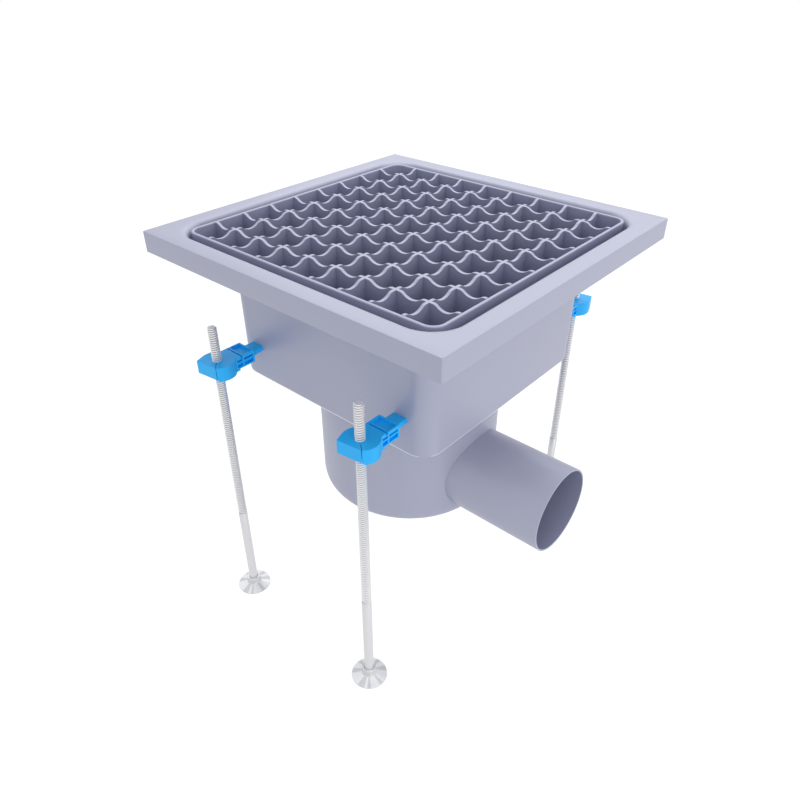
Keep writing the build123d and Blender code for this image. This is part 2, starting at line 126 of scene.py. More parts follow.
class NodeSheet:
    """The node tree of one material, with one way to add any node."""

    def __init__(self, tree: bpy.types.NodeTree) -> None:
        """Start with an empty tree.

        Args:
            tree: The node tree to fill.
        """
        self.tree = tree
        tree.nodes.clear()

    def node(self, kind: str, settings: dict, sockets: dict) -> bpy.types.Node:
        """Add one node.

        Args:
            kind: The node's type name.
            settings: Properties that are set first.
            sockets: Values, signals or output sockets, by the input's name or number.

        Returns:
            The new node.
        """
        made = self.tree.nodes.new(kind)
        for name, value in settings.items():
            setattr(made, name, value)
        for key, value in sockets.items():
            if isinstance(value, Signal):
                self.tree.links.new(value.socket, made.inputs[key])
            elif isinstance(value, bpy.types.NodeSocket):
                self.tree.links.new(value, made.inputs[key])
            else:
                made.inputs[key].default_value = value
        return made

    def signal(self, kind: str, settings: dict, sockets: dict,
               output: str | int = 0) -> Signal:
        """Add one node and take one of its outputs.

        Args:
            kind: The node's type name.
            settings: Properties that are set first.
            sockets: Values or links of its inputs.
            output: The output's name or number.

        Returns:
            The output as a signal.
        """
        return Signal(self, self.node(kind, settings, sockets).outputs[output])

    def noise(self, place: Signal, scale: float, detail: float = 2.0) -> Signal:
        """Smooth random values between 0 and 1 over the surface.

        Args:
            place: The coordinates to read.
            scale: Blotches to the metre.
            detail: How many finer layers are added.

        Returns:
            The noise value.
        """
        sockets = {"Vector": place, "Scale": scale, "Detail": detail}
        return self.signal("ShaderNodeTexNoise", {}, sockets, "Fac")

    def blend(self, factor: Signal, first: Colour, second: Colour) -> Signal:
        """Mix two colours.

        Args:
            factor: 0 gives the first colour and 1 the second.
            first: The first colour.
            second: The second colour.

        Returns:
            The mixed colour.
        """
        return self.cover(factor, (*first, 1.0), second)

    def cover(self, factor: Signal, below: object, above: Colour) -> Signal:
        """Lay a colour over another one.

        Args:
            factor: 0 leaves the lower colour and 1 hides it.
            below: The lower colour with its alpha, or a colour signal.
            above: The upper colour.

        Returns:
            The mixed colour.
        """
        sockets = {0: factor, 6: below, 7: (*above, 1.0)}
        return self.signal("ShaderNodeMix", {"data_type": "RGBA"}, sockets, 2)

    def axis(self, vector: Signal, name: str) -> Signal:
        """One coordinate of a vector.

        Args:
            vector: The vector.
            name: X, Y or Z.

        Returns:
            The coordinate.
        """
        return self.signal("ShaderNodeSeparateXYZ", {}, {0: vector}, name)


@dataclass(frozen=True)
class Signal:
    """A number that varies over a surface and can stand in a plain expression."""

    sheet: NodeSheet
    socket: bpy.types.NodeSocket

    def _combine(self, operation: str, first: object, second: object) -> Signal:
        """Add a Math node.

        Args:
            operation: The Math node's operation.
            first: The left value or signal.
            second: The right value or signal.

        Returns:
            The result.
        """
        settings = {"operation": operation}
        return self.sheet.signal("ShaderNodeMath", settings, {0: first, 1: second})

    def __add__(self, other: Signal | Number) -> Signal:
        """The sum."""
        return self._combine("ADD", self, other)

    def __radd__(self, other: Number) -> Signal:
        """The sum with a number on the left."""
        return self._combine("ADD", other, self)

    def __sub__(self, other: Signal | Number) -> Signal:
        """The difference."""
        return self._combine("SUBTRACT", self, other)

    def __rsub__(self, other: Number) -> Signal:
        """The difference from a number on the left."""
        return self._combine("SUBTRACT", other, self)

    def __mul__(self, other: Signal | Number) -> Signal:
        """The product."""
        return self._combine("MULTIPLY", self, other)

    def __rmul__(self, other: Number) -> Signal:
        """The product with a number on the left."""
        return self._combine("MULTIPLY", other, self)

    def highest(self, other: Signal | Number) -> Signal:
        """The larger of two values."""
        return self._combine("MAXIMUM", self, other)

    def lowest(self, other: Signal | Number) -> Signal:
        """The smaller of two values."""
        return self._combine("MINIMUM", self, other)

    def turn_of(self, other: Signal) -> Signal:
        """The angle of the direction that has this value as its second coordinate."""
        return self._combine("ARCTAN2", self, other)

    def cosine(self) -> Signal:
        """The cosine of an angle."""
        return self._combine("COSINE", self, 0.0)


# The grey streaks of painted reflection on a foot: middle and half width of each, in degrees round
# its axis.
STREAKS = ((-77.0, 15.0), (-48.0, 7.0), (-3.0, 9.0), (60.0, 13.0), (100.0, 9.0),
           (169.0, 9.0), (-148.0, 12.0))
# How steeply the edge of a streak rises.
STREAK_GAIN = 1.5
# On a foot, faces whose normal rises less than the first are grey too, by the second, as painted
# shade on the hub's side.
SLOPE_START = 0.93
SLOPE_GAIN = 5.0
# The grating's side colour, a painted shade: its strength on an upright face, and how fast it
# fades.
SIDE_STRENGTH = 1.1
SIDE_FADE = 2.2
# The pattern of a finish: the shares of its clouds and its grain, and how the grain stands out.
CLOUD_SHARE = 0.7
GRAIN_SHARE = 0.3
GRAIN_DETAIL = 3.0
BUMP_STRENGTH = 0.35


@dataclass(frozen=True)
class Finish:
    """A surface finish: a base colour with faint clouds, a grain and a gloss, and for some a
    second colour of painted shade or painted reflection.
    """

    name: str
    colour: Colour
    cloud_colour: Colour
    metallic: float
    roughness: float
    cloud_scale: float
    grain_scale: float
    grain_depth: float
    roughness_spread: float = 0.08
    coat: float = 0.0
    specular: float = 0.5
    # Where a second colour paints shade or a reflection, and that colour.
    shade: Shade = Shade.NONE
    shade_colour: Colour = (0.0, 0.0, 0.0)

    def shade_mask(self, sheet: NodeSheet) -> Signal:
        """Where the second colour, painted shade or a painted reflection, lies, 0 to 1.

        Args:
            sheet: The node tree.

        Returns:
            The mask.
        """
        if self.shade is Shade.GROOVES:
            return sheet.signal("ShaderNodeAttribute", {"attribute_name": "groove"}, {}, "Fac")
        facing = sheet.signal("ShaderNodeTexCoord", {}, {}, "Normal")
        if self.shade is Shade.SIDES:
            upright = SIDE_STRENGTH - sheet.axis(facing, "Z") * SIDE_FADE
            return upright.lowest(1.0).highest(0.0)
        turn = sheet.axis(facing, "Y").turn_of(sheet.axis(facing, "X"))
        mask = (SLOPE_START - sheet.axis(facing, "Z")) * SLOPE_GAIN
        for middle, half in STREAKS:
            edge = math.cos(math.radians(half))
            inside = (turn - math.radians(middle)).cosine() - edge
            mask = mask.highest(inside * (STREAK_GAIN / (1.0 - edge)))
        return mask.lowest(1.0).highest(0.0)

    def material(self) -> bpy.types.Material:
        """Build the finish as a node material.

        Returns:
            The material.
        """
        made = bpy.data.materials.new(self.name)
        made.use_nodes = True
        sheet = NodeSheet(made.node_tree)
        place = sheet.signal("ShaderNodeTexCoord", {}, {}, "Object")
        clouds = sheet.noise(place, self.cloud_scale)
        grain = sheet.noise(place, self.grain_scale, GRAIN_DETAIL)
        mottle = clouds * CLOUD_SHARE + grain * GRAIN_SHARE
        colour = sheet.blend(mottle, self.colour, self.cloud_colour)
        # Lay the painted shade or painted reflection over the base colour.
        if self.shade is not Shade.NONE:
            colour = sheet.cover(self.shade_mask(sheet), colour, self.shade_colour)
        gloss = self.roughness - self.roughness_spread / 2 + mottle * self.roughness_spread
        bump = sheet.signal("ShaderNodeBump", {}, {
            "Strength": BUMP_STRENGTH, "Distance": self.grain_depth, "Height": grain}, "Normal")
        shader = sheet.node("ShaderNodeBsdfPrincipled", {}, {
            "Base Color": colour, "Roughness": gloss, "Normal": bump, "Metallic": self.metallic,
            "Coat Weight": self.coat, "Specular IOR Level": self.specular})
        sheet.node("ShaderNodeOutputMaterial", {}, {"Surface": shader.outputs["BSDF"]})
        return made


FINISHES: dict[Slot, Finish] = {
    Slot.BODY: Finish(
        "pickled_sheet_steel", (0.382, 0.396, 0.515), (0.413, 0.427, 0.54), metallic=0.1,
        roughness=0.42, cloud_scale=9.0, grain_scale=900.0, grain_depth=0.05 * MM, specular=0.75),
    # The grating's bars get painted shade on their upright sides.
    Slot.GRATE: Finish(
        "pickled_flat_bar", (0.416, 0.42, 0.55), (0.452, 0.456, 0.585), metallic=0.1,
        roughness=0.48, cloud_scale=14.0, grain_scale=1400.0, grain_depth=0.06 * MM,
        shade=Shade.SIDES, shade_colour=(0.30, 0.313, 0.445)),
    Slot.CLIP: Finish(
        "moulded_blue_plastic", (0.002, 0.45, 1.0), (0.004, 0.48, 1.0), metallic=0.0,
        roughness=0.45, cloud_scale=30.0, grain_scale=2600.0, grain_depth=0.03 * MM,
        roughness_spread=0.0, coat=0.04),
    # The rod gets painted shade in its thread's roots.
    Slot.LEG: Finish(
        "bright_zinc", (0.97, 0.97, 0.975), (0.92, 0.92, 0.93), metallic=0.40,
        roughness=0.30, cloud_scale=60.0, grain_scale=3000.0, grain_depth=0.01 * MM,
        shade=Shade.GROOVES, shade_colour=(0.42, 0.42, 0.43)),
    Slot.TRAP: Finish(
        "plain_sheet_steel", (0.30, 0.31, 0.39), (0.336, 0.345, 0.425), metallic=0.2,
        roughness=0.42, cloud_scale=12.0, grain_scale=1200.0, grain_depth=0.04 * MM),
    Slot.SEAL: Finish(
        "seal_rubber", (0.02, 0.02, 0.022), (0.03, 0.03, 0.03), metallic=0.0,
        roughness=0.7, cloud_scale=20.0, grain_scale=1500.0, grain_depth=0.06 * MM),
}
# Skins that cover some faces of a piece: painted shade in the tube, a painted highlight on the
# box's lower edge, painted reflection streaks on the feet.
# The tube's inside is painted darker as shade.
INNER_SKIN = Finish(
    "tube_inside_painted_shade", (0.228, 0.241, 0.36), (0.254, 0.267, 0.385), metallic=0.1,
    roughness=0.50, cloud_scale=9.0, grain_scale=900.0, grain_depth=0.05 * MM)
# A painted highlight along the box's lower outer edge.
RUBBED_EDGE = Finish(
    "box_edge_painted_highlight", (0.93, 0.935, 0.96), (0.95, 0.955, 0.97), metallic=0.1,
    roughness=0.40, cloud_scale=9.0, grain_scale=900.0, grain_depth=0.03 * MM)
# The feet: painted reflection streaks and painted shade on steep faces, over polished zinc.
FOOT_SKIN = Finish(
    "polished_zinc_painted_streaks", (0.98, 0.98, 0.985), (0.95, 0.95, 0.96), metallic=0.25,
    roughness=0.30, cloud_scale=60.0, grain_scale=3000.0, grain_depth=0.01 * MM,
    shade=Shade.STREAKS, shade_colour=(0.72, 0.72, 0.725))


class Paint:
    """Makes each finish once and puts it on pieces."""

    def __init__(self) -> None:
        """Start with no material made."""
        self.made: dict[Slot, bpy.types.Material] = {}
        self.skins: dict[str, bpy.types.Material] = {}

    def skin(self, piece: bpy.types.Object, finish: Finish,
             covers: Callable[[Vector], bool]) -> None:
        """Give some faces of a placed piece another finish.

        Args:
            piece: The piece.
            finish: The other finish.
            covers: Tells from a face's middle whether the finish covers it.
        """
        if finish.name not in self.skins:
            self.skins[finish.name] = finish.material()
        piece.data.materials.append(self.skins[finish.name])
        number = len(piece.data.materials) - 1
        for face in piece.data.polygons:
            if covers(face.center):
                face.material_index = number

    def material(self, slot: Slot) -> bpy.types.Material:
        """The material of a slot.

        Args:
            slot: The material slot.

        Returns:
            The material, made on first use.
        """
        if slot not in self.made:
            self.made[slot] = FINISHES[slot].material()
        return self.made[slot]

    def dress_node(self, node: str, slot: Slot) -> None:
        """Give a piece of the frame its finish.

        Args:
            node: The piece's name.
            slot: The material slot.
        """
        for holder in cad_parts[node].material_slots:
            holder.link = "OBJECT"
            holder.material = self.material(slot)
        LOG.info("dressed %s in %s", node, slot.value)

    def place(self, piece: bpy.types.Object, slot: Slot, body: str,
              *nodes: str) -> bpy.types.Object:
        """Finish a new piece, let it ride on its body and let it stand for its nodes.

        Args:
            piece: The new piece.
            slot: The material slot.
            body: The body that carries it.
            nodes: The nodes that it stands for.

        Returns:
            The piece.
        """
        piece.data.materials.clear()
        piece.data.materials.append(self.material(slot))
        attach(piece, body)
        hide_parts(*nodes)
        LOG.info("%s rides on %s", piece.name, body)
        return piece


def piece_from(name: str, mesh: bmesh.types.BMesh,
               sharp: float = SHARP_ANGLE) -> bpy.types.Object:
    """Turn a working mesh into an object with smooth faces and sharp edges.

    Args:
        name: The piece's name.
        mesh: The working mesh, which is freed.
        sharp: The angle in degrees above which an edge stays sharp.

    Returns:
        The new object.
    """
    bmesh.ops.recalc_face_normals(mesh, faces=mesh.faces)
    data = bpy.data.meshes.new(name)
    mesh.to_mesh(data)
    mesh.free()
    data.shade_smooth()
    data.set_sharp_from_angle(angle=math.radians(sharp))
    made = bpy.data.objects.new(name, data)
    bpy.context.scene.collection.objects.link(made)
    return made


def skin_rings(mesh: bmesh.types.BMesh, rings: Sequence[Sequence[Vector]], closed: bool) -> None:
    """Join rings of points into a skin.

    Args:
        mesh: The mesh to add to.
        rings: Rings with the same number of points.
        closed: True joins the last ring to the first; False closes both ends with flat caps.
    """
    rows = [[mesh.verts.new(point) for point in ring] for ring in rings]
    count = len(rows[0])
    pairs = list(zip(rows, rows[1:]))
    if closed:
        pairs.append((rows[-1], rows[0]))
    for low, high in pairs:
        for index in range(count):
            after = (index + 1) % count
            mesh.faces.new((low[index], low[after], high[after], high[index]))
    if not closed:
        mesh.faces.new(rows[0])
        mesh.faces.new(rows[-1])


def soften(points: Sequence[SectionPoint], steps: int = 4) -> list[Vector]:
    """Round the corners of a closed section.

    Args:
        points: Each corner's three coordinates and how far back its rounding starts.
        steps: Segments on each rounding.

    Returns:
        The rounded section.
    """
    made: list[Vector] = []
    count = len(points)
    for index, (first, second, third, back) in enumerate(points):
        corner = Vector((first, second, third))
        if back == 0:
            made.append(corner)
            continue
        before = Vector(points[index - 1][:3]) - corner
        after = Vector(points[(index + 1) % count][:3]) - corner
        start = corner + before.normalized() * min(back, before.length * NEARLY_HALF)
        end = corner + after.normalized() * min(back, after.length * NEARLY_HALF)
        for step in range(steps + 1):
            share = step / steps
            made.append(start.lerp(corner, share).lerp(corner.lerp(end, share), share))
    return made


def square_ring(half: float, corner: float, height: float, steps: int = 12) -> list[Vector]:
    """A level square ring with rounded corners.

    Args:
        half: Half its width.
        corner: Its corner radius.
        height: Its height.
        steps: Segments on each corner.

    Returns:
        The ring's points.
    """
    made = []
    for quarter in range(4):
        turn = Matrix.Rotation(math.pi / 2 * quarter, 3, "Z")
        for step in range(steps + 1):
            angle = math.pi / 2 * step / steps
            across = half - corner + corner * math.cos(angle)
            along = half - corner + corner * math.sin(angle)
            made.append(turn @ Vector((across, along, height)))
    return made


def round_ring(radius: float, height: float, steps: int) -> list[Vector]:
    """A level round ring.

    Args:
        radius: Its radius.
        height: Its height.
        steps: Its segments.

    Returns:
        The ring's points.
    """
    angles = [2 * math.pi * step / steps for step in range(steps)]
    return [Vector((radius * math.cos(a), radius * math.sin(a), height)) for a in angles]


def square_piece(name: str, section: Sequence[SectionPoint]) -> bpy.types.Object:
    """A sheet piece that follows a rounded square.

    Args:
        name: The piece's name.
        section: Half-width, corner radius, height and rounding of each corner of the section.

    Returns:
        The piece.
    """
    mesh = bmesh.new()
    rings = [square_ring(point.x, point.y, point.z) for point in soften(section)]
    skin_rings(mesh, rings, True)
    return piece_from(name, mesh)


def turned_piece(name: str, section: Sequence[SectionPoint], steps: int,
                 bend_steps: int = 4) -> bpy.types.Object:
    """A round sheet piece on the Z axis.

    Args:
        name: The piece's name.
        section: Radius, zero, height and rounding of each corner of the section.
        steps: Segments round the axis.
        bend_steps: Segments on each rounding.

    Returns:
        The piece.
    """
    mesh = bmesh.new()
    points = soften(section, bend_steps)
    rings = [round_ring(max(point.x, ON_AXIS), point.z, steps) for point in points]
    skin_rings(mesh, rings, True)
    return piece_from(name, mesh)


def move_to(piece: bpy.types.Object, place: Vector) -> None:
    """Move a piece's mesh and leave its object at the origin.

    Args:
        piece: The piece.
        place: How far to move it.
    """
    piece.data.transform(Matrix.Translation(place))


def soft_edges(piece: bpy.types.Object, width: float, steps: int = 3) -> None:
    """Break the sharp edges of a piece.

    Args:
        piece: The piece.
        width: Width of the broken edge.
        steps: Segments across it.
    """
    bevel = piece.modifiers.new("broken_edges", "BEVEL")
    bevel.width = width
    bevel.segments = steps
    bevel.limit_method = "ANGLE"
    bevel.angle_limit = math.radians(BEVEL_ANGLE)
    bevel.harden_normals = True


@dataclass
class Shell:
    """The welded body: folded top frame, drawn box, round cup and outlet tube."""

    paint: Paint
    sheet: float = 1.5 * MM
    skirt_height: float = 17.1 * MM
    opening_half: float = 133.2 * MM
    opening_corner: float = 29.0 * MM
    opening_rounding: float = 6.2 * MM
    fold: float = 0.9 * MM
    bend: float = 2.2 * MM
    outer_bend: float = 3.3 * MM
    box_corner: float = 17.0 * MM
    box_bottom: float = 1.8 * MM
    box_draft: float = 0.8 * MM
    # Height of the painted highlight along the box's lower outer edge.
    rubbed_height: float = 1.1 * MM
    cup_bottom: float = 16.0 * MM
    # The tube's root follows the cup as if its bottom were rounded by this much.
    cup_root: float = 13.0 * MM
    cup_steps: int = 160
    cup_bend_steps: int = 12
    tube_wall: float = 1.6 * MM
    tube_steps: int = 128
    hole_steps: int = 96
    # The cutter of the outlet's hole begins at this share of the tube's reach.
    hole_start: float = 0.2
    edge: float = 0.25 * MM
    # The middle of the tube's broken edge, as a share of the edge's width.
    edge_middle: float = 0.3

    def frame_piece(self) -> bpy.types.Object:
        """The folded top frame.

        Returns:
            The piece.
        """
        low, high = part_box("top_frame")
        half, top, under = high.x, high.z, low.z
        box_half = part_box("box_pan")[1].x
        throat, throat_corner = box_half - self.sheet, self.box_corner - self.sheet
        ledge = under + self.sheet
        wall = self.opening_half + self.sheet
        wall_corner = self.opening_corner + self.sheet
        inside = half - self.sheet
        fold = self.fold
        section = [
            (half, fold, top, fold),
            (self.opening_half, self.opening_corner, top, self.opening_rounding),
            (self.opening_half, self.opening_corner, ledge, self.bend),
            (throat, throat_corner, ledge, self.edge),
            (throat, throat_corner, under, 0.0),
            (wall, wall_corner, under, self.outer_bend),
            (wall, wall_corner, top - self.sheet, self.edge),
            (inside, fold, top - self.sheet, self.edge),
            (inside, fold, top - self.skirt_height, self.edge),
            (half, fold, top - self.skirt_height, self.edge),
        ]
        return square_piece("frame_sheet", section)

    def box_piece(self) -> bpy.types.Object:
        """The drawn box, a little narrower at the bottom.

        Returns:
            The piece.
        """
        low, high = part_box("box_pan")
        top_half, bottom_half = high.x, high.x - self.box_draft
        inner_corner = self.box_corner - self.sheet
        floor = low.z + self.sheet
        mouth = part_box("sump_cup")[1].y - self.sheet
        section = [
            (top_half, self.box_corner, high.z, 0.0),
            (top_half - self.sheet, inner_corner, high.z, 0.0),
            (bottom_half - self.sheet, inner_corner, floor, self.box_bottom / 2),
            (mouth, mouth * NEARLY_ROUND, floor, self.edge),
            (mouth, mouth * NEARLY_ROUND, low.z, 0.0),
            (bottom_half, self.box_corner, low.z, self.box_bottom),
        ]
        return square_piece("box_sheet", section)

    def cup_section(self) -> list[SectionPoint]:
        """Section of the cup, from the rim down the outside and up the inside.

        Returns:
            The section's corners.
        """
        low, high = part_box("sump_cup")
        radius = high.y
        inner = radius - self.sheet
        return [
            (radius, 0.0, high.z, 0.0),
            (radius, 0.0, low.z, self.cup_bottom),
            (0.0, 0.0, low.z, 0.0),
            (0.0, 0.0, low.z + self.sheet, 0.0),
            (inner, 0.0, low.z + self.sheet, self.cup_bottom - self.sheet),
            (inner, 0.0, high.z, 0.0),
        ]

    def cup_piece(self) -> bpy.types.Object:
        """The round cup with the hole to the outlet.

        Returns:
            The piece.
        """
        section = self.cup_section()
        made = turned_piece("cup_sheet", section, self.cup_steps, self.cup_bend_steps)
        self.drill_outlet(made)
        return made

    def drill_outlet(self, cup: bpy.types.Object) -> None:
        """Cut the hole of the outlet into the cup.

        Args:
            cup: The cup.
        """
        low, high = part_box("outlet_spigot")
        radius = (high.z - low.z) / 2 - self.tube_wall
        mesh = bmesh.new()
        ring = round_ring(radius, 0.0, self.hole_steps)
        turn = Matrix.Rotation(math.pi / 2, 3, "Y")
        middle = Vector((0.0, 0.0, (high.z + low.z) / 2))
        rings = [[turn @ p + middle + Vector((reach, 0.0, 0.0)) for p in ring]
                 for reach in (high.x * self.hole_start, high.x)]
        skin_rings(mesh, rings, False)
        cutter = piece_from("outlet_cutter", mesh)
        cut = cup.modifiers.new("outlet_hole", "BOOLEAN")
        cut.operation = "DIFFERENCE"
        cut.object = cutter
        graph = bpy.context.evaluated_depsgraph_get()
        cup.data = bpy.data.meshes.new_from_object(cup.evaluated_get(graph))
        cup.modifiers.clear()
        bpy.data.objects.remove(cutter)
        cup.data.shade_smooth()
        cup.data.set_sharp_from_angle(angle=math.radians(SHARP_ANGLE))

    def tube_piece(self) -> bpy.types.Object:
        """The outlet tube, shaped to the cup at its root.

        Returns:
            The piece.
        """
        low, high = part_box("outlet_spigot")
        cup_low, cup_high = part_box("sump_cup")
        radius = (high.z - low.z) / 2
        middle = (high.z + low.z) / 2
        buried = cup_high.y - self.sheet / 2

        def root(across: float, height: float) -> float:
            """How far out the cup's wall lies at one point of the tube."""
            dip = max(0.0, cup_low.z + self.cup_root - height)
            reach = buried - self.cup_root + math.sqrt(max(self.cup_root**2 - dip**2, 0.0))
            return math.sqrt(max(reach**2 - across**2, 0.0))

        def ring(size: float, end: float | None) -> list[Vector]:
            """One ring of the tube, at its end or at the cup's wall."""
            made = []
            for step in range(self.tube_steps):
                angle = 2 * math.pi * step / self.tube_steps
                across, height = size * math.cos(angle), middle + size * math.sin(angle)
                reach = root(across, height) if end is None else end
                made.append(Vector((reach, across, height)))
            return made

        inner = radius - self.tube_wall
        edge, bulge = self.edge, self.edge * self.edge_middle
        rings = [ring(radius, None), ring(radius, high.x - edge),
                 ring(radius - bulge, high.x - bulge), ring(radius - edge, high.x),
                 ring(inner + edge, high.x), ring(inner + bulge, high.x - bulge),
                 ring(inner, high.x - edge), ring(inner, None)]
        mesh = bmesh.new()
        skin_rings(mesh, rings, True)
        return piece_from("outlet_tube", mesh)

    def build(self) -> None:
        """Build and dress the four sheets of the body, and the lugs on its walls."""
        drain = Body.DRAIN.value
        self.paint.place(self.frame_piece(), Slot.BODY, drain, "top_frame")
        box = self.paint.place(self.box_piece(), Slot.BODY, drain, "box_pan")
        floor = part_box("box_pan")[0].z
        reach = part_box("box_pan")[1].x - 2 * self.sheet
        # A painted highlight on the box's lower outer edge.
        self.paint.skin(box, RUBBED_EDGE, lambda at: at.z < floor + self.rubbed_height
                        and max(abs(at.x), abs(at.y)) > reach)
        self.paint.place(self.cup_piece(), Slot.BODY, drain, "sump_cup")
        tube = self.paint.place(self.tube_piece(), Slot.BODY, drain, "outlet_spigot")
        low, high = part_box("outlet_spigot")
        bore = (high.z - low.z) / 2 - self.tube_wall / 2
        level = (high.z + low.z) / 2
        # The inside of the tube gets painted shade.
        self.paint.skin(tube, INNER_SKIN, lambda at: math.hypot(at.y, at.z - level) < bore
                        and at.x < high.x - self.edge)
        for leg in Leg:
            self.paint.dress_node(f"wall_lug_{leg.value}", Slot.BODY)


@dataclass
class Grating:
    """The mesh grating: a band on edge and half-lapped bars with a wavy top."""

    paint: Paint
    thick: float = 2.5 * MM
    pitch: float = 28.2 * MM
    bars: int = 8
    corner: float = 11.0 * MM
    wave_depth: float = 3.4 * MM
    wave_slope: float = 36.0
    crest: float = 6.0 * MM
    crest_flat: float = 3.5 * MM
    band_flat: float = 2.5 * MM
    edge: float = 0.3 * MM
    band_round: float = 1.125 * MM

    def places(self) -> list[float]:
        """Where the bars stand, across their length.

        Returns:
            The bars' distances from the middle.
        """
        outer = self.pitch * (self.bars - 1) / 2
        return [self.pitch * index - outer for index in range(self.bars)]

    def dip(self, run: float, steps: int = 8) -> Outline:
        """Half of the dip between two crests, from its lowest point to the crest.

        Args:
            run: Length of the half dip.
            steps: Segments on each arc.

        Returns:
            Distance from the lowest point, and height above it.
        """
        slope = math.radians(self.wave_slope)
        crest_run = self.crest * math.sin(slope)
        crest_drop = self.crest * (1 - math.cos(slope))
        left = run - crest_run - (self.wave_depth - crest_drop) / math.tan(slope)
        trough = left / math.tan(slope / 2)
        angles = [slope * step / steps for step in range(steps + 1)]
        low = [(trough * math.sin(a), trough * (1 - math.cos(a))) for a in angles]
        high = [(run - self.crest * math.sin(a), self.wave_depth - self.crest * (1 - math.cos(a)))
                for a in reversed(angles)]
        return low + high

    def top_line(self, reach: float, top: float) -> Outline:
        """The wavy top edge of a bar from one end to the other.

        Args:
            reach: Half the bar's length.
            top: Height of the crests.

        Returns:
            The points of the edge.
        """
        band = reach + self.thick / 2
        outer = self.places()[-1]
        outer_run = (band - outer - self.crest_flat - self.band_flat) / 2
        inner_run = self.pitch / 2 - self.crest_flat
        dips = [(place + self.pitch / 2, inner_run) for place in self.places()[:-1]]
        middle = outer + self.crest_flat + outer_run
        dips = [(-middle, outer_run), *dips, (middle, outer_run)]
        made = [(-reach, top)]
        for place, run in dips:
            half = self.dip(run)
            made += [(place - x, top - self.wave_depth + z) for x, z in reversed(half)]
            made += [(place + x, top - self.wave_depth + z) for x, z in half[1:]]
        return made + [(reach, top)]

    def bar_piece(self, name: str, place: float, along_y: bool) -> bpy.types.Object:
        """One bar with its half-lap slots.

        Args:
            name: The piece's name.
            place: Its distance from the middle.
            along_y: True for a bar along Y, which is slotted from above.

        Returns:
            The piece.
        """
        low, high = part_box("grate_bar_x1")
        reach, top, bottom = high.x, high.z, low.z
        lap = (top + bottom) / 2
        half = self.thick / 2
        line = self.top_line(reach, top)
        floor = [(reach, bottom), (-reach, bottom)]
        if along_y:
            line = self.slotted(line, top, lap, half)
        else:
            floor = self.slotted(floor[::-1], bottom, lap, half)[::-1]
        mesh = bmesh.new()
        loop = [*line, *floor]
        sides = [[mesh.verts.new((x, side, z)) for x, z in loop] for side in (-half, half)]
        count = len(loop)
        mesh.faces.new(sides[0])
        mesh.faces.new(reversed(sides[1]))
        for index in range(count):
            after = (index + 1) % count
            mesh.faces.new((sides[0][index], sides[1][index], sides[1][after], sides[0][after]))
        if along_y:
            mesh.transform(Matrix.Rotation(math.pi / 2, 4, "Z"))
            mesh.transform(Matrix.Translation((place, 0.0, 0.0)))
        else:
            mesh.transform(Matrix.Translation((0.0, place, 0.0)))
        made = piece_from(name, mesh)
        soft_edges(made, self.edge, steps=2)
        return made

    def slotted(self, line: Outline, level: float, lap: float, half: float) -> Outline:
        """Add a slot at each crossing to one long edge of a bar.

        Args:
            line: The edge from the left end to the right end.
            level: Height of the edge at the crossings.
            lap: Height of the slots' ends.
            half: Half the slots' width.

        Returns:
            The edge with its slots.
        """
        places = self.places()
        made = []
        for point in line:
            while places and places[0] - half < point[0]:
                left, right = places[0] - half, places.pop(0) + half
                made += [(left, level), (left, lap), (right, lap), (right, level)]
            made.append(point)
        return made

    def band_piece(self) -> bpy.types.Object:
        """The band round the grating, with a rounded top.

        Returns:
            The piece.
        """
        low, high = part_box("grate_band")
        inner, inner_corner = high.x - self.thick, self.corner - self.thick
        section = [
            (high.x, self.corner, high.z, self.band_round),
            (inner, inner_corner, high.z, self.band_round),
            (inner, inner_corner, low.z, self.edge),
            (high.x, self.corner, low.z, self.edge),
        ]
        return square_piece("band_on_edge", section)

    def build(self) -> None:
        """Build and dress the band and the bars."""
        drain = Body.DRAIN.value
        self.paint.place(self.band_piece(), Slot.GRATE, drain, "grate_band")
        for index, place in enumerate(self.places(), start=1):
            for axis in ("x", "y"):
                made = self.bar_piece(f"wavy_bar_{axis}{index}", place, axis == "y")
                self.paint.place(made, Slot.GRATE, drain, f"grate_bar_{axis}{index}")


@dataclass(frozen=True)
class ClipArm:
    """The arm of a clip as the solids have it, and how the real one differs from it."""

    # Corners nearer to the rod than this stay where they are.
    start: float = 12.0 * MM
    reach: float = 30.0 * MM
    half: float = 9.6 * MM
    height: float = 9.0 * MM
    rib: float = 1.4 * MM
    panel: float = 1.5 * MM
    slack: float = 0.1 * MM
    drop: float = 2.0 * MM
    panel_sink: float = 0.9 * MM

    def full(self, at: Vector, rod: Vector, top: float) -> Vector:
        """Where a corner of the clip goes when its arm is as tall and hollow as the real one.

        Args:
            at: The corner.
            rod: The middle of the clip's rod.
            top: Height of the clip's top.

        Returns:
            The corner's place.
        """
        side = -1.0 if rod.y > 0 else 1.0
        along, across = (at.y - rod.y) * side, at.x - rod.x
        under = top - at.z
        made = at.copy()
        if not self.start < along < self.reach + self.slack:
            return made
        if self.height - self.rib - self.slack < under < self.height + self.slack:
            made.z -= self.drop
        elif abs(under - self.height / 2) < self.rib / 2 + self.slack:
            made.z -= self.drop / 2
        if abs(abs(across) - self.half + self.panel) < self.slack / 2:
            made.x -= math.copysign(self.panel_sink, across)
        elif abs(under - self.panel) < self.slack:
            made.z -= self.panel_sink
        return made


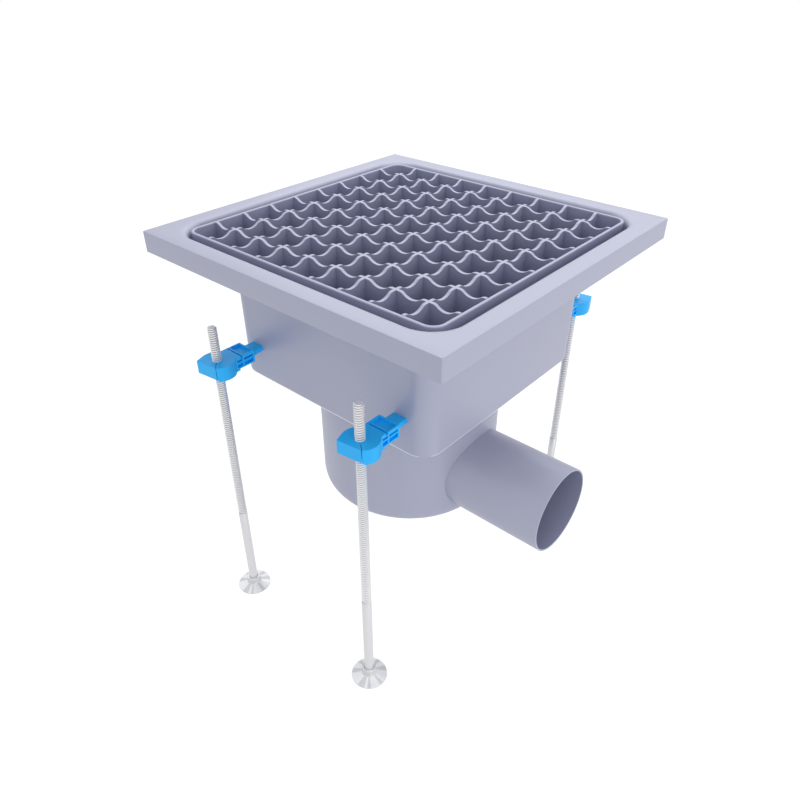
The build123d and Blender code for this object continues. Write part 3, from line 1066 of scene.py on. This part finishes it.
@dataclass(frozen=True)
class FootForm:
    """The section of the pressed foot: radii from its axis and heights above its base."""

    hub: float = 6.25 * MM
    socket: float = 4.15 * MM
    socket_floor: float = 1.5 * MM
    neck_height: float = 4.1 * MM
    flare_share: float = 0.72
    flare_height: float = 2.1 * MM
    rim_height: float = 0.8 * MM
    rim_width: float = 1.2 * MM
    hollow_height: float = 2.4 * MM
    draft: float = 0.1 * MM
    hub_draft: float = 0.2 * MM
    socket_edge: float = 0.35 * MM
    hub_edge: float = 0.5 * MM
    neck_bend: float = 1.2 * MM
    flare_bend: float = 3.0 * MM
    edge: float = 0.3 * MM
    under_edge: float = 0.2 * MM
    steps: int = 96

    def section(self, rim: float, base: float, top: float) -> list[SectionPoint]:
        """The section, from the socket over the hub and the flare to the sole.

        Args:
            rim: Radius of the foot.
            base: Height of its base.
            top: Height of its top.

        Returns:
            The section's corners.
        """
        return [
            (self.socket, 0.0, top, self.socket_edge),
            (self.hub, 0.0, top, self.hub_edge),
            (self.hub - self.draft, 0.0, base + self.neck_height, self.neck_bend),
            (rim * self.flare_share, 0.0, base + self.flare_height, self.flare_bend),
            (rim - self.draft, 0.0, base + self.rim_height, self.edge),
            (rim, 0.0, base, self.edge),
            (rim - self.rim_width, 0.0, base, self.under_edge),
            (self.hub, 0.0, base + self.hollow_height, self.edge),
            (self.hub - self.hub_draft, 0.0, base, self.under_edge),
            (0.0, 0.0, base, 0.0),
            (0.0, 0.0, base + self.socket_floor, 0.0),
            (self.socket, 0.0, base + self.socket_floor, 0.0),
        ]


@dataclass
class LevellingLeg:
    """One leg: split plastic clip, threaded rod and pressed foot."""

    paint: Paint
    leg: Leg
    arm: ClipArm = ClipArm()
    foot: FootForm = FootForm()
    pitch: float = 2.0 * MM
    thread_end: float = 95.7 * MM
    crest_radius: float = 3.88 * MM
    root_radius: float = 3.0 * MM
    flank_gain: float = 1.5
    turn_steps: int = 32
    pitch_steps: int = 8
    thread_sharp: float = 50.0
    thread_weld: float = 0.0005 * MM
    chamfer: float = 0.8 * MM
    shank_steps: int = 48
    shank_chamfer: float = 0.3 * MM
    shank_tone: float = 0.4
    clip_edge: float = 0.35 * MM
    clip_weld: float = 0.002 * MM
    clip_flat: float = 1.0

    def clip_piece(self) -> bpy.types.Object:
        """The clip with its full arm and broken edges.

        Returns:
            The piece.
        """
        name = f"leg_clip_{self.leg.value}"
        mesh = bmesh.new()
        mesh.from_mesh(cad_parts[name].data)
        bmesh.ops.remove_doubles(mesh, verts=mesh.verts, dist=self.clip_weld)
        low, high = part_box(f"leg_rod_{self.leg.value}")
        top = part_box(name)[1].z
        for vertex in mesh.verts:
            vertex.co = self.arm.full(vertex.co, (low + high) / 2, top)
        flat = math.radians(self.clip_flat)
        bmesh.ops.dissolve_limit(mesh, angle_limit=flat, verts=mesh.verts, edges=mesh.edges)
        made = piece_from(f"split_clip_{self.leg.value}", mesh)
        soft_edges(made, self.clip_edge)
        return made

    def thread_height(self, share: float) -> float:
        """Radius of the thread at a share of one pitch.

        Args:
            share: Place between two crests, 0 to 1.

        Returns:
            The radius.
        """
        wave = 0.5 + 0.5 * math.cos(2 * math.pi * share)
        steep = min(max((wave - 0.5) * self.flank_gain + 0.5, 0.0), 1.0)
        return self.root_radius + (self.crest_radius - self.root_radius) * steep

    def add_thread(self, mesh: bmesh.types.BMesh, top: float, bottom: float) -> None:
        """Add the rod's helical thread, its top chamfer and its end face.

        Args:
            mesh: The mesh to add to.
            top: Height of the rod's top.
            bottom: Height where the thread runs out.
        """
        rows = math.ceil((top - bottom) / self.pitch * self.pitch_steps) + self.pitch_steps

        def point(step: int, row: int) -> Vector:
            """One point of the thread's skin."""
            angle = 2 * math.pi * step / self.turn_steps
            rise = self.pitch * (row / self.pitch_steps + step / self.turn_steps - 1)
            height = min(max(bottom + rise, bottom), top)
            radius = self.thread_height(row / self.pitch_steps)
            radius = min(radius, self.crest_radius - self.chamfer + (top - height))
            return Vector((radius * math.cos(angle), radius * math.sin(angle), height))

        grid = [[mesh.verts.new(point(step, row)) for row in range(rows + self.pitch_steps + 1)]
                for step in range(self.turn_steps)]
        for step in range(self.turn_steps):
            last = step == self.turn_steps - 1
            after = grid[0] if last else grid[step + 1]
            shift = self.pitch_steps if last else 0
            for row in range(rows):
                mesh.faces.new((grid[step][row], after[row + shift],
                                after[row + shift + 1], grid[step][row + 1]))
        mesh.faces.new([column[rows] for column in grid])

    def mark_grooves(self, rod: bpy.types.Object, end: float, top: float) -> None:
        """Store how deep in the thread each point lies, 1 at the root, as the strength of the
        painted shade in the thread's roots; the plain shank gets a fixed share of that colour.

        Args:
            rod: The rod, on the Z axis.
            end: Height where the thread runs out.
            top: Height of the rod's top.
        """
        depth = self.crest_radius - self.root_radius
        marks = rod.data.attributes.new("groove", "FLOAT", "POINT")
        for vertex, mark in zip(rod.data.vertices, marks.data):
            radius = math.hypot(vertex.co.x, vertex.co.y)
            if vertex.co.z <= end:
                mark.value = self.shank_tone
            elif vertex.co.z < top - self.chamfer:
                mark.value = min((self.crest_radius - radius) / depth, 1.0) ** 2

    def rod_piece(self) -> bpy.types.Object:
        """The threaded rod with its plain shank.

        Returns:
            The piece.
        """
        low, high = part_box(f"leg_rod_{self.leg.value}")
        middle = (low + high) / 2
        shank = (high.x - low.x) / 2
        end = low.z + self.thread_end
        mesh = bmesh.new()
        self.add_thread(mesh, high.z, end)
        sizes = [(shank, low.z), (shank, end - self.shank_chamfer),
                 (shank - self.shank_chamfer, end), (self.root_radius, end)]
        rings = [round_ring(radius, height, self.shank_steps) for radius, height in sizes]
        skin_rings(mesh, rings, False)
        bmesh.ops.remove_doubles(mesh, verts=mesh.verts, dist=self.thread_weld)
        made = piece_from(f"threaded_rod_{self.leg.value}", mesh, self.thread_sharp)
        self.mark_grooves(made, end, high.z)
        move_to(made, Vector((middle.x, middle.y, 0.0)))
        return made

    def foot_piece(self) -> bpy.types.Object:
        """The pressed foot: a thin flared plate with its hub.

        Returns:
            The piece.
        """
        low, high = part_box(f"leg_foot_{self.leg.value}")
        middle = (low + high) / 2
        section = self.foot.section((high.x - low.x) / 2, low.z, high.z)
        made = turned_piece(f"pressed_foot_{self.leg.value}", section, self.foot.steps)
        move_to(made, Vector((middle.x, middle.y, 0.0)))
        return made

    def build(self) -> None:
        """Build and dress the leg's three pieces."""
        name = self.leg.value
        self.paint.place(self.clip_piece(), Slot.CLIP, Body.DRAIN.value, f"leg_clip_{name}")
        self.paint.place(self.rod_piece(), Slot.LEG, f"{Body.ROD.value}_{name}", f"leg_rod_{name}")
        foot = self.paint.place(self.foot_piece(), Slot.LEG, f"{Body.FOOT.value}_{name}",
                                f"leg_foot_{name}")
        # Painted reflection streaks and painted shade cover the whole foot.
        self.paint.skin(foot, FOOT_SKIN, lambda at: True)


@dataclass
class Inside:
    """The trap and the basket inside the drain, which keep their own meshes."""

    paint: Paint
    steel_nodes: tuple[str, ...] = (
        "trap_pot", "trap_bell", "bell_handle", "sediment_basket", "basket_bail")

    def build(self) -> None:
        """Dress the hidden pieces."""
        for node in self.steel_nodes:
            self.paint.dress_node(node, Slot.TRAP)
        self.paint.dress_node("rim_seal", Slot.SEAL)


@dataclass
class Studio:
    """A plain pale floor, soft light from all round and the camera of the picture."""

    floor_reach: float = 6.0
    leg_travel: float = 28.5 * MM
    floor_tone: Colour = (0.86, 0.86, 0.87)
    seen_floor_tone: Colour = (0.35, 0.35, 0.35)
    seen_floor_glow: float = 0.78
    white: Colour = (1.0, 1.0, 1.0)
    sky_tone: Colour = (0.97, 0.98, 1.0)
    sky: float = 0.78
    lamp_size: float = 1.0
    lamp_aim: Place = (0.0, 0.0, -0.1)
    top_power: float = 3.1
    top_place: Place = (-0.15, 0.35, 0.55)
    side_power: float = 3.7
    side_place: Place = (1.3, -0.3, 0.3)
    picture_width: float = 800.0
    focal_pixels: float = 699.02
    sensor: float = 36.0
    nearest: float = 0.01
    furthest: float = 50.0
    camera_place: Place = (0.35113, -0.41677, 0.19767)
    camera_aim: Place = (0.15897, -0.19612, 0.0)

    @staticmethod
    def seen(sheet: NodeSheet) -> Signal:
        """1 for rays that show the background: from the camera, in gloss or through glass.

        Args:
            sheet: The node tree.

        Returns:
            The mask.
        """
        path = sheet.node("ShaderNodeLightPath", {}, {})
        camera = Signal(sheet, path.outputs["Is Camera Ray"])
        glossy = Signal(sheet, path.outputs["Is Glossy Ray"])
        through = Signal(sheet, path.outputs["Is Transmission Ray"])
        return camera.highest(glossy).highest(through)

    def floor(self) -> None:
        """The floor, just below the feet of the legs at their longest."""
        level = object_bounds()[0].z - self.leg_travel
        mesh = bmesh.new()
        reach = self.floor_reach
        spots = ((-reach, -reach), (reach, -reach), (reach, reach), (-reach, reach))
        mesh.faces.new([mesh.verts.new((x, y, level)) for x, y in spots])
        made = piece_from("studio_floor", mesh)
        paint = bpy.data.materials.new("studio_white")
        paint.use_nodes = True
        sheet = NodeSheet(paint.node_tree)
        plain = sheet.node("ShaderNodeBsdfDiffuse", {}, {"Color": (*self.floor_tone, 1.0)})
        pale = sheet.node("ShaderNodeBsdfDiffuse", {}, {"Color": (*self.seen_floor_tone, 1.0)})
        glow = sheet.node("ShaderNodeEmission", {}, {
            "Color": (*self.white, 1.0), "Strength": self.seen_floor_glow})
        bright = sheet.node("ShaderNodeAddShader", {}, {0: pale.outputs[0], 1: glow.outputs[0]})
        mixed = sheet.node("ShaderNodeMixShader", {}, {
            0: self.seen(sheet), 1: plain.outputs[0], 2: bright.outputs[0]})
        sheet.node("ShaderNodeOutputMaterial", {}, {"Surface": mixed.outputs[0]})
        made.data.materials.append(paint)
        made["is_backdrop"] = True

    def surroundings(self) -> None:
        """The white world: plain white where it is seen, softer as a light."""
        world = bpy.data.worlds.new("white_room")
        world.use_nodes = True
        bpy.context.scene.world = world
        sheet = NodeSheet(world.node_tree)
        shine = sheet.node("ShaderNodeBackground", {}, {
            "Color": (*self.sky_tone, 1.0), "Strength": self.sky})
        seen = sheet.node("ShaderNodeBackground", {}, {
            "Color": (*self.white, 1.0), "Strength": 1.0})
        mixed = sheet.node("ShaderNodeMixShader", {}, {
            0: self.seen(sheet), 1: shine.outputs[0], 2: seen.outputs[0]})
        sheet.node("ShaderNodeOutputWorld", {}, {"Surface": mixed.outputs[0]})

    def lamp(self, name: str, place: Place, power: float) -> None:
        """A soft square lamp that looks at the drain.

        Args:
            name: The lamp's name.
            place: Where it hangs.
            power: Its power in watts.
        """
        light = bpy.data.lights.new(name, "AREA")
        light.energy = power
        light.size = self.lamp_size
        made = bpy.data.objects.new(name, light)
        made.location = place
        made.rotation_mode = "QUATERNION"
        line = Vector(self.lamp_aim) - Vector(place)
        made.rotation_quaternion = line.to_track_quat("-Z", "Y")
        bpy.context.scene.collection.objects.link(made)

    def camera(self) -> None:
        """The camera, at the picture's place and lens."""
        data = bpy.data.cameras.new("picture_camera")
        data.sensor_width = self.sensor
        data.lens = self.focal_pixels * self.sensor / self.picture_width
        data.clip_start, data.clip_end = self.nearest, self.furthest
        made = bpy.data.objects.new("picture_camera", data)
        made.location = self.camera_place
        made.rotation_mode = "QUATERNION"
        line = Vector(self.camera_aim) - Vector(self.camera_place)
        made.rotation_quaternion = line.to_track_quat("-Z", "Y")
        bpy.context.scene.collection.objects.link(made)
        bpy.context.scene.camera = made

    def build(self) -> None:
        """Set up the floor, the light and the camera."""
        self.floor()
        self.surroundings()
        self.lamp("top_softbox", self.top_place, self.top_power)
        self.lamp("right_softbox", self.side_place, self.side_power)
        self.camera()
        bpy.context.scene.view_settings.view_transform = "Standard"
        LOG.info("studio is set")


def main() -> None:
    """Build every piece in order."""
    logging.basicConfig(level=logging.INFO, format="%(message)s")
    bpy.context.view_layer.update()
    paint = Paint()
    Shell(paint).build()
    Grating(paint).build()
    for leg in Leg:
        LevellingLeg(paint, leg).build()
    Inside(paint).build()
    Studio().build()


if __name__ == "__main__":
    main()
